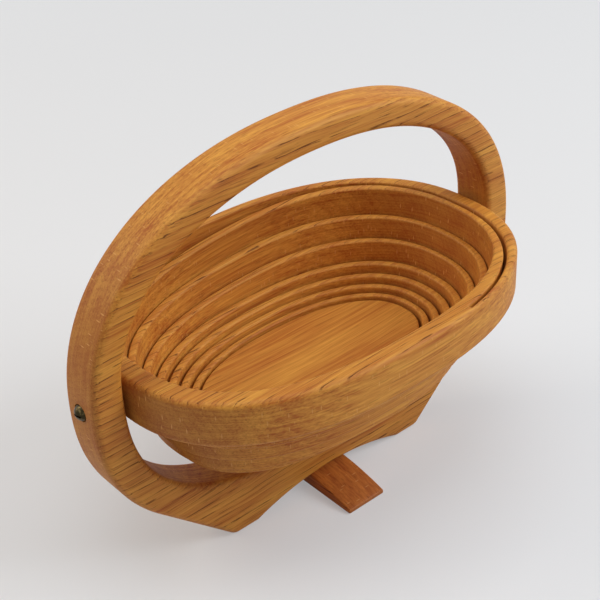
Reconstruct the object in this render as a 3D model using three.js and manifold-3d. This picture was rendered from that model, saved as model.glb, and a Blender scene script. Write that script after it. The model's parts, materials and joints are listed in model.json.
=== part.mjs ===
// Collapsible fruit basket, sawn from one oak board.
// An oval frame is both handle and stand. The basket board turns in it on two pivot screws: a rim, a spiral
// strip that drops turn by turn, and an oval floor. A foot bar swings out from the arch under the frame.
// Units are millimetres, +Z is up, the pivots lie along X, the front is -Y, and z = 0 is the table.
// The basket is modelled open. Every wall of the spiral kerf leans inwards on its way down.

import * as THREE from 'three';
import Module from 'manifold-3d';
import { mergeVertices } from 'three/addons/utils/BufferGeometryUtils.js';

// Board
const boardThickness = 19.05;
const boardEdgeRound = 3;
const pivotHeight = 87;
const seatGap = 0.3;

// Opening of the frame, measured from the pivot axis
const openingHalfLength = 92.1;
const openingTopRise = 66.4;
const openingBottomDrop = 63.7;
const openingWidestRise = 5.2;
const openingUpperFullness = 2.16;
const openingLowerFullness = 2.67;

// Outside of the frame
const endWall = 13.5;
const handleWall = 11.5;
const frameWidestDrop = 2.4;
const frameFullness = 2.24;
const footOuterReach = 50.9;
const footInnerReach = 38.8;
const footCornerRound = 2;
const archRise = 7.2;

// Rim of the basket board
const rimEndGap = 2.1;
const rimSideGap = 1.3;
const rimFarFullness = 2.24;
const rimNearFullness = 2.43;

// Spiral kerf, with insets measured from the outline of the rim
const kerfWidth = 1.3;
const kerfLean = THREE.MathUtils.degToRad(4.5);
const kerfStartAngle = THREE.MathUtils.degToRad(-75);
const kerfStartInset = 2.3;
const kerfEntryInset = 1;
const kerfEntryTurns = 0.15;
const kerfPitch = 5.36;
const kerfPitchLoss = 0.1;
const rimEndWidening = 3.2;
const widenedTurns = 3.2;
const stripLengths = 14;
const stripEdge = 0.6;

// How far the turns of the strip drop when the basket is open
const dropStartAngle = THREE.MathUtils.degToRad(-15);
const entryDrop = 2.6;
const upperTurns = 3;
const upperTurnDrop = 9.1;
const lowerTurnDrop = 3.5;
const lowerDropShare = 0.75;
const leftSag = 3.4;
const saggingTurns = 5;

// Pivot screws
const pivotShankRadius = 1.7;
const pivotBite = 3;
const pivotHeadRadius = 3.2;
const pivotHeadHeight = 2.4;
const pivotHeadProud = 2;
const pivotCounterboreGap = 0.3;
const pivotSlotWidth = 0.9;
const pivotSlotDepth = 0.9;

// Foot bar and its screw
const footBarTipHeight = 1.79;
const footBarEdge = 0.6;
const footScrewShankRadius = 1.8;
const footScrewHeadRadius = 3.8;
const footScrewRimHeight = 0.4;
const footScrewConeHeight = 2;
const footScrewRecess = 0.5;
const footScrewReach = 9;

// How far a cutter runs past the face that it opens
const cutterPast = 1;

// Smoothness of the curves
const stepsPerHalfTurn = 24;
const frameStepsPerTurn = 84;
const edgeSteps = 3;
const archSteps = 20;
const roundSteps = 24;
const domeSteps = 5;

// Finishes
const oakColour = 0xb87c3c;
const oakEndColour = 0x8a4b22;
const brassColour = 0x4a3620;

// Sizes that follow from the ones above
const halfBoard = boardThickness / 2;
const frameHalfLength = openingHalfLength + endWall;
const frameTopRise = openingTopRise + handleWall;
const rimHalfLength = openingHalfLength - rimEndGap;
const rimFarReach = openingTopRise - rimSideGap;
const rimNearReach = openingBottomDrop - rimSideGap;
const leanPerDepth = Math.tan(kerfLean);
const halfKerf = kerfWidth / 2;
const stripEndAngle = (stripLengths - 0.5) * Math.PI;
const archRadius = (footInnerReach ** 2 + archRise ** 2) / (2 * archRise);

const wasm = await Module();
wasm.setup();

// The same number with its sign, raised to a power.
function signedPower(value, power) {
  return Math.sign(value) * Math.abs(value) ** power;
}

// A point of a superellipse whose half above the axis and half below it have their own reach and fullness.
function ovalPoint(angle, halfLength, reachAbove, reachBelow, fullnessAbove, fullnessBelow) {
  const above = Math.sin(angle) >= 0;
  const power = 2 / (above ? fullnessAbove : fullnessBelow);
  const reach = above ? reachAbove : reachBelow;
  return new THREE.Vector2(
    halfLength * signedPower(Math.cos(angle), power),
    reach * signedPower(Math.sin(angle), power),
  );
}

// Plan of the basket board: a point at this inset from the outline of the rim.
function boardPoint(angle, inset) {
  return ovalPoint(
    angle,
    rimHalfLength - inset,
    rimFarReach - inset,
    rimNearReach - inset,
    rimFarFullness,
    rimNearFullness,
  );
}

// Turns of the kerf that lie before this angle.
function turnAt(angle) {
  return (angle - kerfStartAngle) / (2 * Math.PI);
}

// Inset of the middle of the kerf, on the top face, at this angle along the spiral. The saw enters near the
// edge, and leaves the rim and the upper turns wider inwards at the two ends, where the screws hold them.
function kerfInset(angle) {
  const turn = turnAt(angle);
  const entry = kerfEntryInset * THREE.MathUtils.smoothstep(turn, 0, kerfEntryTurns);
  const widening = rimEndWidening * Math.max(1 - turn / widenedTurns, 0) * Math.cos(angle) ** 4;
  return kerfStartInset + entry + widening + kerfPitch * turn - kerfPitchLoss * turn ** 2;
}

// Insets of the two walls of the strip on the top face.
function stripOuterInset(angle) {
  return kerfInset(angle) + halfKerf;
}

function stripInnerInset(angle) {
  return kerfInset(angle + 2 * Math.PI) - halfKerf;
}

// Drop of the open strip at an end of the oval: steep in the upper turns, easing off towards the floor. The
// upper turns hang lower at their left ends.
function dropAt(angle) {
  const turn = (angle - dropStartAngle) / (2 * Math.PI);
  const entry = entryDrop * THREE.MathUtils.smoothstep(turn, 0, 1);
  const upper = upperTurnDrop * Math.min(turn, upperTurns);
  const lowerTurns = Math.max(turn - upperTurns, 0);
  const lower = lowerTurnDrop * (1 - lowerDropShare ** lowerTurns) / (1 - lowerDropShare);
  const sag = leftSag * Math.max(1 - turn / saggingTurns, 0) * Math.sin(angle / 2) ** 2;
  return entry + upper + lower + sag;
}

// The strip is level where it passes the two ends of the oval, and slopes evenly in between.
// This is the place along X, inside the strip's own section, where such a level stretch ends.
function levelPlace(halfTurn) {
  const angle = halfTurn * Math.PI;
  const deepest = stripInnerInset(angle) + boardThickness * leanPerDepth;
  return boardPoint(angle, deepest).x;
}

// Drop of the strip at an angle along the spiral and at a place along X.
function stripDrop(angle, x) {
  const before = Math.floor(angle / Math.PI);
  const entering = before < 0;
  const leaving = before + 1 >= stripLengths;
  const startDrop = entering ? 0 : dropAt(before * Math.PI);
  const endDrop = leaving ? dropAt(stripEndAngle) : dropAt((before + 1) * Math.PI);
  const startX = entering ? boardPoint(kerfStartAngle, stripOuterInset(kerfStartAngle)).x : levelPlace(before);
  const endX = leaving ? boardPoint(stripEndAngle, 0).x : levelPlace(before + 1);
  const share = THREE.MathUtils.clamp((x - startX) / (endX - startX), 0, 1);
  return startDrop + (endDrop - startDrop) * THREE.MathUtils.smoothstep(share, 0, 1);
}

// Rounded edges of the board: inset and depth along a quarter circle, from the top face outwards.
function edgeArc(radius, steps) {
  const points = [];
  for (let step = 0; step <= steps; step += 1) {
    const angle = (step / steps) * Math.PI / 2;
    points.push({ inset: radius * (1 - Math.sin(angle)), depth: radius * (1 - Math.cos(angle)) });
  }
  return points;
}

// A closed solid through a row of rings that hold the same number of points.
function loftedSolid(rings, capFaces) {
  const count = rings[0].length;
  const positions = rings.flat().flatMap((point) => [point.x, point.y, point.z]);
  const faces = [];
  for (let level = 0; level + 1 < rings.length; level += 1) {
    for (let corner = 0; corner < count; corner += 1) {
      const near = level * count + corner;
      const side = level * count + (corner + 1) % count;
      faces.push([near, side, side + count]);
      faces.push([near, side + count, near + count]);
    }
  }
  const last = (rings.length - 1) * count;
  for (const [a, b, c] of capFaces) {
    faces.push([a, c, b]);
    faces.push([last + a, last + b, last + c]);
  }
  const geometry = new THREE.BufferGeometry();
  geometry.setAttribute('position', new THREE.Float32BufferAttribute(positions, 3));
  geometry.setIndex(faces.flat());
  return facingOut(geometry);
}

// Six times the volume inside a closed mesh, negative where its faces point inwards.
function signedVolume(geometry) {
  const position = geometry.attributes.position;
  const index = geometry.index;
  const a = new THREE.Vector3();
  const b = new THREE.Vector3();
  const c = new THREE.Vector3();
  let volume = 0;
  for (let i = 0; i < index.count; i += 3) {
    a.fromBufferAttribute(position, index.getX(i));
    b.fromBufferAttribute(position, index.getX(i + 1));
    c.fromBufferAttribute(position, index.getX(i + 2));
    volume += a.dot(b.cross(c));
  }
  return volume;
}

// The same mesh with its faces pointing out.
function facingOut(geometry) {
  if (signedVolume(geometry) < 0) {
    const turned = Array.from(geometry.index.array).reverse();
    geometry.setIndex(turned);
  }
  return geometry;
}

// Triangles that close a level ring, all turned the way the ring runs.
function levelCap(ring) {
  const outline = ring.map((point) => new THREE.Vector2(point.x, point.y));
  const faces = THREE.ShapeUtils.triangulateShape(outline, []);
  const [a, b, c] = faces[0];
  const sameWay = THREE.ShapeUtils.area([outline[a], outline[b], outline[c]]) * THREE.ShapeUtils.area(outline) > 0;
  return sameWay ? faces : faces.map(([i, j, k]) => [i, k, j]);
}

// Triangles that close a convex ring.
function convexCap(count) {
  const faces = [];
  for (let corner = 1; corner + 1 < count; corner += 1) {
    faces.push([0, corner, corner + 1]);
  }
  return faces;
}

// A solid of the basket board between closed plans, one for each layer of inset and depth.
function boardSolid(outline, layers, top) {
  const rings = layers.map(({ inset, depth }) => outline.map(({ angle, from }) => {
    const place = boardPoint(angle, from + inset);
    return new THREE.Vector3(place.x, place.y, top - depth);
  }));
  return loftedSolid(rings, levelCap(rings[0]));
}

// Shared vertices, positions only.
function welded(geometry) {
  const bare = geometry.clone();
  bare.deleteAttribute('normal');
  bare.deleteAttribute('uv');
  return mergeVertices(bare);
}

function toManifold(geometry) {
  const mesh = welded(geometry);
  return new wasm.Manifold(new wasm.Mesh({
    numProp: 3,
    vertProperties: new Float32Array(mesh.attributes.position.array),
    triVerts: new Uint32Array(mesh.index.array),
  }));
}

function fromManifold(solid) {
  const mesh = solid.getMesh();
  const geometry = new THREE.BufferGeometry();
  geometry.setAttribute('position', new THREE.Float32BufferAttribute(mesh.vertProperties, 3));
  geometry.setIndex(Array.from(mesh.triVerts));
  return geometry;
}

// The body with each cutter taken away.
function cutFrom(body, cutters) {
  const cut = cutters.reduce((rest, cutter) => rest.subtract(toManifold(cutter)), toManifold(body));
  return fromManifold(cut);
}

// A turned solid along X, its profile given as [radius, place along X] from the axis back to the axis.
function turnedAlongX(profile) {
  const points = profile.map(([radius, place]) => new THREE.Vector2(radius, place));
  return new THREE.LatheGeometry(points, roundSteps).rotateZ(-Math.PI / 2);
}

// The same, standing along Z.
function turnedAlongZ(profile) {
  const points = profile.map(([radius, place]) => new THREE.Vector2(radius, place));
  return new THREE.LatheGeometry(points, roundSteps).rotateX(Math.PI / 2);
}

// Flat outlines are drawn in X and height, and extruded through the board with rounded edges.
function sawnPlate(shape, thickness, edge, steps) {
  const geometry = new THREE.ExtrudeGeometry(shape, {
    depth: thickness - 2 * edge,
    bevelThickness: edge,
    bevelSize: edge,
    bevelOffset: -edge,
    bevelSegments: steps,
    curveSegments: archSteps,
  });
  geometry.translate(0, 0, edge - thickness / 2);
  return geometry.rotateX(Math.PI / 2);
}

// Outside curve of the frame, with its height above the table.
function frameCurve(angle) {
  const halfHeight = frameTopRise + frameWidestDrop;
  const point = ovalPoint(angle, frameHalfLength, halfHeight, halfHeight, frameFullness, frameFullness);
  point.y += pivotHeight - frameWidestDrop;
  return point;
}

// Angle at which a straight line from the outer corner of the foot touches the outside curve.
function sideTouchAngle() {
  const corner = new THREE.Vector2(footOuterReach, 0);
  const small = 1e-4;
  const turnsPast = (angle) => {
    const along = frameCurve(angle + small).sub(frameCurve(angle - small));
    return along.cross(frameCurve(angle).sub(corner));
  };
  let low = -Math.PI / 2 + small * 2;
  let high = -small * 2;
  const rising = turnsPast(high) > turnsPast(low);
  for (let halving = 0; halving < 50; halving += 1) {
    const middle = (low + high) / 2;
    if (turnsPast(middle) > 0 === rising) {
      high = middle;
    } else {
      low = middle;
    }
  }
  return low;
}

function frameShape() {
  const touch = sideTouchAngle();
  const touchPoint = frameCurve(touch);
  const corner = new THREE.Vector2(footOuterReach, 0);
  const roundStart = touchPoint.clone().sub(corner).setLength(footCornerRound).add(corner);
  const shape = new THREE.Shape();
  shape.moveTo(footOuterReach - footCornerRound, 0);
  shape.quadraticCurveTo(corner.x, corner.y, roundStart.x, roundStart.y);
  const sweep = Math.PI - 2 * touch;
  const steps = Math.round(frameStepsPerTurn * sweep / (2 * Math.PI));
  for (let step = 0; step <= steps; step += 1) {
    const point = frameCurve(touch + sweep * step / steps);
    shape.lineTo(point.x, point.y);
  }
  shape.lineTo(-roundStart.x, roundStart.y);
  shape.quadraticCurveTo(-corner.x, corner.y, footCornerRound - footOuterReach, 0);
  shape.lineTo(-footInnerReach, 0);
  const archHalfAngle = Math.asin(footInnerReach / archRadius);
  shape.absarc(0, archRise - archRadius, archRadius, Math.PI / 2 + archHalfAngle, Math.PI / 2 - archHalfAngle, true);
  shape.closePath();
  shape.holes.push(openingPath());
  return shape;
}

function openingPath() {
  const path = new THREE.Path();
  for (let step = 0; step < frameStepsPerTurn; step += 1) {
    const point = ovalPoint(
      2 * Math.PI * step / frameStepsPerTurn,
      openingHalfLength,
      openingTopRise - openingWidestRise,
      openingBottomDrop + openingWidestRise,
      openingUpperFullness,
      openingLowerFullness,
    );
    const height = point.y + pivotHeight + openingWidestRise;
    if (step === 0) {
      path.moveTo(point.x, height);
    } else {
      path.lineTo(point.x, height);
    }
  }
  path.closePath();
  return path;
}

// Places along X that the pivot screws and their holes share.
const pivotHeadTop = frameHalfLength + pivotHeadProud;
const pivotHeadSeat = pivotHeadTop - pivotHeadHeight;
const pivotTip = rimHalfLength - pivotBite;

// Hole for one pivot screw through the right end of the frame, on the axis of the pivots.
function pivotHoleCutter() {
  const holeRadius = pivotShankRadius + seatGap;
  const boreRadius = pivotHeadRadius + pivotCounterboreGap;
  const seat = pivotHeadSeat - seatGap;
  const inside = rimHalfLength;
  const outside = frameHalfLength + endWall;
  return turnedAlongX([[0, inside], [holeRadius, inside], [holeRadius, seat], [boreRadius, seat],
    [boreRadius, outside], [0, outside]]);
}

// Blind hole for the tip of the right pivot screw in the end of the rim.
function rimHoleCutter() {
  const holeRadius = pivotShankRadius + seatGap;
  const bottom = pivotTip - seatGap;
  return turnedAlongX([[0, bottom], [holeRadius, bottom], [holeRadius, frameHalfLength], [0, frameHalfLength]]);
}

// The right pivot screw: slotted round head outwards, plain shank, short chamfered tip.
function pivotScrew() {
  const sphereRadius = (pivotHeadRadius ** 2 + pivotHeadHeight ** 2) / (2 * pivotHeadHeight);
  const openAngle = Math.asin(pivotHeadRadius / sphereRadius);
  const tipChamfer = pivotShankRadius / 4;
  const profile = [[0, pivotTip], [pivotShankRadius - tipChamfer, pivotTip], [pivotShankRadius, pivotTip + tipChamfer],
    [pivotShankRadius, pivotHeadSeat]];
  for (let step = 0; step < domeSteps; step += 1) {
    const angle = openAngle * (1 - step / domeSteps);
    profile.push([sphereRadius * Math.sin(angle), pivotHeadTop - sphereRadius * (1 - Math.cos(angle))]);
  }
  profile.push([0, pivotHeadTop]);
  const slot = new THREE.BoxGeometry(2 * pivotSlotDepth, 3 * pivotHeadRadius, pivotSlotWidth);
  slot.translate(pivotHeadTop, 0, 0);
  return cutFrom(turnedAlongX(profile), [slot]);
}

// Profile of the foot screw, or of its hole in the bar when it is grown by a clearance.
function footScrewProfile(clearance, bottom, top) {
  const cone = footScrewRecess + footScrewRimHeight;
  return [
    [0, bottom],
    [footScrewHeadRadius + clearance, bottom],
    [footScrewHeadRadius + clearance, cone + clearance],
    [footScrewShankRadius + clearance, cone + footScrewConeHeight + clearance],
    [footScrewShankRadius + clearance, top],
    [0, top],
  ];
}

// Foot bar: flat below, and above it the arc of the arch lowered until the bar can turn under the board.
// It ends where that arc has come down to the height of the bar's tips.
function footBarGeometry() {
  const cornerSag = archRadius - Math.sqrt(archRadius ** 2 - halfBoard ** 2);
  const barRise = archRise - cornerSag - seatGap;
  const centreHeight = barRise - archRadius;
  const tipHalfAngle = Math.acos((footBarTipHeight - centreHeight) / archRadius);
  const halfLength = archRadius * Math.sin(tipHalfAngle);
  const shape = new THREE.Shape();
  shape.moveTo(-halfLength, 0);
  shape.lineTo(halfLength, 0);
  shape.absarc(0, centreHeight, archRadius, Math.PI / 2 - tipHalfAngle, Math.PI / 2 + tipHalfAngle, false);
  shape.closePath();
  const bar = sawnPlate(shape, boardThickness, footBarEdge, 1);
  bar.rotateZ(Math.PI / 2);
  const hole = turnedAlongZ(footScrewProfile(seatGap, -cutterPast, archRise + cutterPast));
  return cutFrom(bar, [hole]);
}

function footScrewGeometry() {
  return turnedAlongZ(footScrewProfile(0, footScrewRecess, archRise + footScrewReach));
}

function frameGeometry() {
  const plate = sawnPlate(frameShape(), boardThickness, boardEdgeRound, edgeSteps);
  const rightHole = pivotHoleCutter().translate(0, 0, pivotHeight);
  const leftHole = pivotHoleCutter().rotateZ(Math.PI).translate(0, 0, pivotHeight);
  const holeRadius = footScrewShankRadius + seatGap;
  const holeTop = archRise + footScrewReach + seatGap;
  const footHole = turnedAlongZ([[0, 0], [holeRadius, 0], [holeRadius, holeTop], [0, holeTop]]);
  return cutFrom(plate, [rightHole, leftHole, footHole]);
}

// Outline of the basket board's plan over one full turn of the kerf, ending in the step of the spiral.
function spiralOutline(startAngle, wall) {
  const outline = [{ angle: startAngle, from: wall(startAngle) }];
  const stepAngle = Math.PI / stepsPerHalfTurn;
  const endAngle = startAngle + 2 * Math.PI;
  const firstStep = Math.floor(startAngle / stepAngle) + 1;
  for (let step = firstStep; step * stepAngle < endAngle; step += 1) {
    const angle = step * stepAngle;
    if (angle - startAngle > stepAngle / 4 && endAngle - angle > stepAngle / 4) {
      outline.push({ angle, from: wall(angle) });
    }
  }
  outline.push({ angle: endAngle, from: wall(endAngle) });
  return outline;
}

// Rim: the rounded outside of the board, less what lies inside the first turn of the kerf.
function rimGeometry() {
  const outside = [];
  for (let step = 0; step < 2 * stepsPerHalfTurn; step += 1) {
    outside.push({ angle: step * Math.PI / stepsPerHalfTurn, from: 0 });
  }
  const topEdge = edgeArc(boardEdgeRound, edgeSteps);
  const bottomEdge = topEdge.map(({ inset, depth }) => ({ inset, depth: boardThickness - depth })).reverse();
  const board = boardSolid(outside, [...topEdge, ...bottomEdge], halfBoard);

  const inside = spiralOutline(kerfStartAngle, (angle) => kerfInset(angle) - halfKerf);
  const layers = [
    { inset: -stripEdge - cutterPast, depth: -cutterPast },
    { inset: stripEdge * leanPerDepth, depth: stripEdge },
    { inset: (boardThickness - stripEdge) * leanPerDepth, depth: boardThickness - stripEdge },
    { inset: boardThickness * leanPerDepth - stripEdge - cutterPast, depth: boardThickness + cutterPast },
  ];
  const hollow = boardSolid(inside, layers, halfBoard);
  return cutFrom(board, [hollow, rimHoleCutter(), rimHoleCutter().rotateZ(Math.PI)]);
}

// Floor: what lies inside the last turn of the kerf.
function floorGeometry() {
  const outline = spiralOutline(stripEndAngle, stripOuterInset);
  const layers = [
    { inset: stripEdge, depth: 0 },
    { inset: stripEdge * leanPerDepth, depth: stripEdge },
    { inset: (boardThickness - stripEdge) * leanPerDepth, depth: boardThickness - stripEdge },
    { inset: boardThickness * leanPerDepth + stripEdge, depth: boardThickness },
  ];
  return boardSolid(outline, layers, halfBoard - dropAt(stripEndAngle));
}

// Section of the strip at one angle: its four walls with small chamfers, dropped into place.
function stripSection(angle) {
  const outer = stripOuterInset(angle);
  const inner = stripInnerInset(angle);
  const corners = [
    [outer, stripEdge],
    [outer + stripEdge, 0],
    [inner - stripEdge, 0],
    [inner, stripEdge],
    [inner, boardThickness - stripEdge],
    [inner - stripEdge, boardThickness],
    [outer + stripEdge, boardThickness],
    [outer, boardThickness - stripEdge],
  ];
  return corners.map(([inset, depth]) => {
    const place = boardPoint(angle, inset + depth * leanPerDepth);
    return new THREE.Vector3(place.x, place.y, halfBoard - depth - stripDrop(angle, place.x));
  });
}

// One length of the strip, from the middle of one long side to the middle of the next.
function stripGeometry(length) {
  const stepAngle = Math.PI / stepsPerHalfTurn;
  const middle = length * Math.PI;
  const startEdge = Math.max(kerfStartAngle, middle - Math.PI / 2);
  const endEdge = middle + Math.PI / 2;
  const speedAt = (angle) => boardPoint(angle + stepAngle, 0).distanceTo(boardPoint(angle - stepAngle, 0));
  const gapAngle = (angle) => seatGap * stepAngle / speedAt(angle);
  const start = startEdge + gapAngle(startEdge) * (startEdge === kerfStartAngle ? 2 : 1);
  const end = endEdge - gapAngle(endEdge) * (endEdge >= stripEndAngle ? 2 : 1);
  const sections = [stripSection(start)];
  const firstStep = Math.floor(startEdge / stepAngle) + 1;
  for (let step = firstStep; step * stepAngle < endEdge - stepAngle / 4; step += 1) {
    if (step * stepAngle - start > stepAngle / 4) {
      sections.push(stripSection(step * stepAngle));
    }
  }
  sections.push(stripSection(end));
  return loftedSolid(sections, convexCap(sections[0].length));
}

// Flat facets, so that every edge stays crisp.
function faceted(geometry) {
  const loose = geometry.index ? geometry.toNonIndexed() : geometry;
  loose.computeVertexNormals();
  return loose;
}

function part(name, geometry, colour, roughness, metalness) {
  const material = new THREE.MeshStandardMaterial({ color: colour, roughness, metalness });
  const mesh = new THREE.Mesh(faceted(geometry), material);
  mesh.name = name;
  return mesh;
}

const oakRoughness = 0.5;
const brassRoughness = 0.35;

function oak(name, geometry) {
  return part(name, geometry, oakColour, oakRoughness, 0);
}

function brass(name, geometry) {
  return part(name, geometry, brassColour, brassRoughness, 1);
}

// The basket board with its pivot screws, around the axis of the pivots.
function basketGroup() {
  const group = new THREE.Group();
  group.add(oak('rim', rimGeometry()));
  for (let length = 0; length < stripLengths; length += 1) {
    const number = String(length + 1).padStart(2, '0');
    group.add(oak(`spiral_strip_${number}`, stripGeometry(length)));
  }
  group.add(oak('basket_floor', floorGeometry()));
  const leftScrew = brass('pivot_screw_left', pivotScrew());
  leftScrew.rotation.z = Math.PI;
  group.add(leftScrew);
  group.add(brass('pivot_screw_right', pivotScrew()));
  group.position.z = pivotHeight;
  return group;
}

// The foot bar, turned out across the frame, on its screw.
function footGroup() {
  const group = new THREE.Group();
  group.add(part('foot_bar', footBarGeometry(), oakEndColour, oakRoughness, 0));
  group.add(brass('foot_screw', footScrewGeometry()));
  return group;
}

const fruitBasket = new THREE.Group();
fruitBasket.add(oak('frame', frameGeometry()));
fruitBasket.add(basketGroup());
fruitBasket.add(footGroup());

export default fruitBasket;
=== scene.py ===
"""Looks of a collapsible fruit basket, sawn from one oak board.

Every sawn piece is first shaped flat, where it lies in the uncut board. Its mesh keeps those places in an
attribute, so that the grain runs on from piece to piece, and is then moved to where it stands in the open
basket. Lengths are metres, +Z is up, the pivots lie along X and the front is -Y.
"""

import json
import logging
import math
from dataclasses import dataclass, field
from enum import Enum
from typing import Callable, Sequence

import bmesh
import bpy
from mathutils import Matrix, Vector


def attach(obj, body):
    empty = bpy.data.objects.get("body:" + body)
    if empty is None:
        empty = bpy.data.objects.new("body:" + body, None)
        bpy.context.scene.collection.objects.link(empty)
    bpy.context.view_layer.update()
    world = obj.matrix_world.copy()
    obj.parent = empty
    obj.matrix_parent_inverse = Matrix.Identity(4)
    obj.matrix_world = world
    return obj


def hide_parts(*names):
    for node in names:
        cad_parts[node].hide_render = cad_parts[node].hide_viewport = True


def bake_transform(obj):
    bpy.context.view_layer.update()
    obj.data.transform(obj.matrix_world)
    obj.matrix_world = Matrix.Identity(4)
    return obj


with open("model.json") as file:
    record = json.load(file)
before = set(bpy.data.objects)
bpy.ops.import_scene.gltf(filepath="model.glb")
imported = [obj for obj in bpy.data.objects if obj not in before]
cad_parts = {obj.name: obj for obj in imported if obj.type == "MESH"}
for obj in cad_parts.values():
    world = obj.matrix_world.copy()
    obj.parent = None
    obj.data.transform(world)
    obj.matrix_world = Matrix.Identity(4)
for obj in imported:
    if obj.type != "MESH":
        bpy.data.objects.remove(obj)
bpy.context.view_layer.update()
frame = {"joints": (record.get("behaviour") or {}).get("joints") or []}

log = logging.getLogger("fruit_basket")

MM = 0.001
TURN = 2 * math.pi
SHARP_EDGE = math.radians(35)
WELD_REACH = 0.002 * MM
SLIVER_LENGTH = 0.001 * MM
MIRROR_WELD_REACH = 0.01 * MM
PLACE_IN_BOARD = "board_place"
FACING_IN_BOARD = "board_facing"


class Slot(Enum):
    """The material slots of the record that a piece can take its finish from."""

    OAK = "oak"
    OAK_END = "oak_end"
    BRASS = "antique_brass"


class End(Enum):
    """The two ends of the pivot axis, with their sign along X."""

    LEFT = -1
    RIGHT = 1


def joint_travel(name: str) -> float:
    """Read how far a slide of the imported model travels.

    Args:
        name: the joint's name in the record.

    Returns:
        The upper end of its range.
    """
    found = next(joint for joint in frame["joints"] if joint["name"] == name)
    return found["range_m"][1]


def signed_power(value: float, power: float) -> float:
    """Raise a number to a power and keep its sign.

    Args:
        value: any number.
        power: the exponent for its size.

    Returns:
        The number with its old sign and its new size.
    """
    return math.copysign(abs(value) ** power, value)


def oval_point(angle: float, half_length: float, reaches: tuple[float, float],
               fullness: tuple[float, float]) -> tuple[float, float]:
    """Find a point of an oval whose upper and lower halves differ.

    Args:
        angle: the place along the oval, from its right end counterclockwise.
        half_length: half of its length along the first axis.
        reaches: how far it reaches above and below that axis.
        fullness: how square its upper and lower halves are, 2 for an ellipse.

    Returns:
        The two coordinates of the point.
    """
    half = 0 if math.sin(angle) >= 0 else 1
    power = 2 / fullness[half]
    along = half_length * signed_power(math.cos(angle), power)
    return along, reaches[half] * signed_power(math.sin(angle), power)


def even_angles(start: float, end: float, fullness: float, steps_per_turn: int) -> list[float]:
    """Choose angles along an oval that lie evenly along its outline.

    The first and the last step are at least a fifth as long as the others.

    Args:
        start: the first angle.
        end: the last angle.
        fullness: how square the oval is.
        steps_per_turn: how many steps make a whole turn.

    Returns:
        The angles, with the first and the last among them.
    """
    def from_polar(polar: float) -> float:
        """Turn the direction of a point, seen from the middle, to its angle along the oval.

        Args:
            polar: the direction.

        Returns:
            The angle.
        """
        quarter = round(polar / (TURN / 4))
        rest = polar - quarter * TURN / 4
        sine = abs(math.sin(rest)) ** (fullness / 2)
        cosine = math.cos(rest) ** (fullness / 2)
        return quarter * TURN / 4 + math.copysign(math.atan2(sine, cosine), rest)

    shortest = TURN / steps_per_turn / 5
    # Two spare steps at either end, because an angle and its direction differ a little.
    first = math.floor(start / TURN * steps_per_turn) - 2
    last = math.ceil(end / TURN * steps_per_turn) + 2
    between = [from_polar(step * TURN / steps_per_turn) for step in range(first, last + 1)]
    return [start, *[angle for angle in between if start + shortest < angle < end - shortest], end]


def smoothstep(share: float) -> float:
    """Ease a share between 0 and 1 in and out, and hold it beyond."""
    held = min(max(share, 0), 1)
    return held * held * (3 - 2 * held)


def edge_round(radius: float, steps: int) -> list[tuple[float, float]]:
    """Draw the quarter round of an edge.

    Args:
        radius: the radius of the round.
        steps: how many flats it has.

    Returns:
        Inset from the wall and depth below the face, from the face outwards.
    """
    turns = [step / steps * TURN / 4 for step in range(steps + 1)]
    return [(radius * (1 - math.sin(turn)), radius * (1 - math.cos(turn))) for turn in turns]


def clear_selection() -> None:
    """Leave edit mode and deselect every object."""
    if bpy.context.mode != "OBJECT":
        bpy.ops.object.mode_set(mode="OBJECT")
    bpy.ops.object.select_all(action="DESELECT")


def take(obj: bpy.types.Object) -> None:
    """Select one object alone and make it the active one.

    Args:
        obj: the object.
    """
    clear_selection()
    obj.select_set(True)
    bpy.context.view_layer.objects.active = obj


def name_piece(obj: bpy.types.Object, name: str) -> bpy.types.Object:
    """Name an object and its mesh alike.

    Args:
        obj: the object.
        name: the name of the piece.

    Returns:
        The same object.
    """
    obj.name = name
    obj.data.name = name
    return obj


def ring_of(points: Sequence[Vector], filled: bool) -> bpy.types.Object:
    """Add a circle and move its vertices on to an outline.

    Args:
        points: the outline, in order.
        filled: whether a face closes it.

    Returns:
        The new object, active and in object mode.
    """
    clear_selection()
    fill = "NGON" if filled else "NOTHING"
    bpy.ops.mesh.primitive_circle_add(vertices=len(points), fill_type=fill, location=(0, 0, 0))
    ring = bpy.context.object
    for vertex, point in zip(ring.data.vertices, points):
        vertex.co = point
    return ring


def skin_over(name: str, rows: Sequence[Sequence[Vector]], rows_closed: bool) -> bpy.types.Object:
    """Lay a grid over rows of points, roll it up and close it.

    Args:
        name: the name of the piece.
        rows: closed rings of points, each with the same count.
        rows_closed: whether the last ring joins the first. Otherwise faces close both ends.

    Returns:
        The closed piece, in object mode.
    """
    around = len(rows[0])
    along = len(rows) if rows_closed else len(rows) - 1
    clear_selection()
    bpy.ops.mesh.primitive_grid_add(x_subdivisions=around, y_subdivisions=along, size=1, location=(0, 0, 0))
    piece = name_piece(bpy.context.object, name)
    for vertex in piece.data.vertices:
        column = round((vertex.co.x + 0.5) * around) % around
        row = round((vertex.co.y + 0.5) * along) % len(rows)
        vertex.co = rows[row][column]
    bpy.ops.object.mode_set(mode="EDIT")
    bpy.ops.mesh.select_all(action="SELECT")
    bpy.ops.mesh.remove_doubles(threshold=WELD_REACH)
    bpy.ops.mesh.dissolve_degenerate(threshold=SLIVER_LENGTH)
    if not rows_closed:
        bpy.ops.mesh.select_all(action="SELECT")
        bpy.ops.mesh.fill_holes(sides=0)
    turn_faces_out()
    bpy.ops.object.mode_set(mode="OBJECT")
    return piece


def turn_faces_out() -> None:
    """Point all faces of the mesh in edit mode outwards."""
    bpy.ops.mesh.select_all(action="SELECT")
    bpy.ops.mesh.normals_make_consistent(inside=False)


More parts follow.
